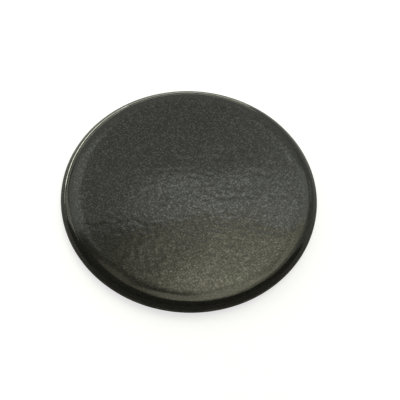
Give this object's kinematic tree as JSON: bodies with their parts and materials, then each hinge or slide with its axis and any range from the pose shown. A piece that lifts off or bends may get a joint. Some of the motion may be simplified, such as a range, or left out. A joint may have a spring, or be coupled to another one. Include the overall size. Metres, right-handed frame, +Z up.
{
  "type": "gas burner cap",
  "caption": "Round black enamelled cap for a gas hob burner: plain, nearly flat top with a soft shoulder and rolled edge, and a locating ring and seat underneath.",
  "frame": {"origin": "on the cap's axis, at the level of the locating ring's foot, which the cap stands on", "axes": "+Z up along the cap's axis, from the locating ring towards the plain top face; X and Y are alike"},
  "size_m": [0.1, 0.1, 0.0075],
  "materials": {
    "black_enamel": "satin black vitreous enamel with a fine orange-peel grain, over cast iron"
  },
  "bodies": {
    "root": {"burner_cap": "black_enamel"}
  },
  "joints": []
}
